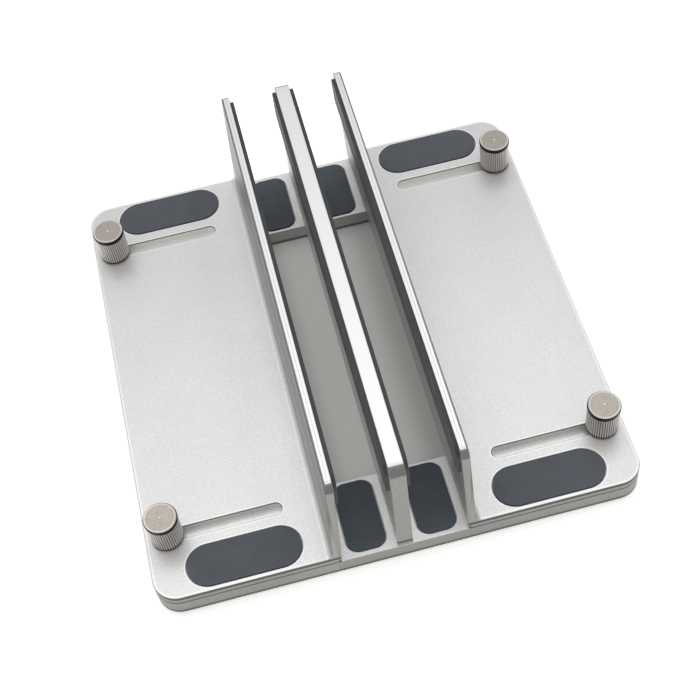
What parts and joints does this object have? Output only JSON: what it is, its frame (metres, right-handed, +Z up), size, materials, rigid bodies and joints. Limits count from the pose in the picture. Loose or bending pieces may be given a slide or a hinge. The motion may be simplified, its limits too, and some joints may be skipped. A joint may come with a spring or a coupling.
{
  "type": "vertical laptop stand",
  "caption": "Metal desk stand that holds closed laptops upright in two padded slots; sliding side brackets, clamped by thumb screws, set the slot width.",
  "frame": {"origin": "middle of the footprint, on the plane that the four feet stand on", "axes": "+X to the right along the front edge, +Y towards the back, +Z up; the brackets slide along X"},
  "size_m": [0.16, 0.1654, 0.0553],
  "materials": {
    "anodised_aluminium": "bead-blasted and clear anodised, satin",
    "silicone_liner": "matte soft silicone strip",
    "silicone_pad": "matte soft silicone pad",
    "rubber_foot": "matte rubber",
    "screw_head_metal": "turned and knurled, satin nickel",
    "dark_steel": "black oxide"
  },
  "bodies": {
    "base": {"base_frame": "anodised_aluminium", "centre_wall": "anodised_aluminium", "liner_centre_left": "silicone_liner", "liner_centre_right": "silicone_liner", "slot_pad_front_left": "silicone_pad", "slot_pad_front_right": "silicone_pad", "slot_pad_rear_left": "silicone_pad", "slot_pad_rear_right": "silicone_pad", "foot_front_left": "rubber_foot", "foot_front_right": "rubber_foot", "foot_rear_left": "rubber_foot", "foot_rear_right": "rubber_foot", "wall_screw_front_outer": "dark_steel", "wall_screw_front_inner": "dark_steel", "wall_screw_rear_outer": "dark_steel", "wall_screw_rear_inner": "dark_steel"},
    "left_bracket_body": {"left_bracket": "anodised_aluminium", "liner_left_wall": "silicone_liner", "wing_pad_front_left": "silicone_pad", "wing_pad_rear_left": "silicone_pad"},
    "right_bracket_body": {"right_bracket": "anodised_aluminium", "liner_right_wall": "silicone_liner", "wing_pad_front_right": "silicone_pad", "wing_pad_rear_right": "silicone_pad"},
    "thumb_screw_front_left_body": {"thumb_screw_front_left": "screw_head_metal"},
    "thumb_screw_front_right_body": {"thumb_screw_front_right": "screw_head_metal"},
    "thumb_screw_rear_left_body": {"thumb_screw_rear_left": "screw_head_metal"},
    "thumb_screw_rear_right_body": {"thumb_screw_rear_right": "screw_head_metal"}
  },
  "joints": [
    {"name": "left_bracket_slide", "type": "slide", "parent": "base", "child": "left_bracket_body", "axis": [-1, 0, 0], "range_m": [0, 0.0354]},
    {"name": "right_bracket_slide", "type": "slide", "parent": "base", "child": "right_bracket_body", "axis": [1, 0, 0], "range_m": [0, 0.0354]},
    {"name": "thumb_screw_front_left_turn", "type": "hinge", "parent": "base", "child": "thumb_screw_front_left_body", "pos_m": [-0.0727, -0.0603, 0.0113], "axis": [0, 0, 1], "range_deg": [0, 720]},
    {"name": "thumb_screw_front_right_turn", "type": "hinge", "parent": "base", "child": "thumb_screw_front_right_body", "pos_m": [0.0727, -0.0603, 0.0113], "axis": [0, 0, 1], "range_deg": [0, 720]},
    {"name": "thumb_screw_rear_left_turn", "type": "hinge", "parent": "base", "child": "thumb_screw_rear_left_body", "pos_m": [-0.0727, 0.0603, 0.0113], "axis": [0, 0, 1], "range_deg": [0, 720]},
    {"name": "thumb_screw_rear_right_turn", "type": "hinge", "parent": "base", "child": "thumb_screw_rear_right_body", "pos_m": [0.0727, 0.0603, 0.0113], "axis": [0, 0, 1], "range_deg": [0, 720]}
  ]
}
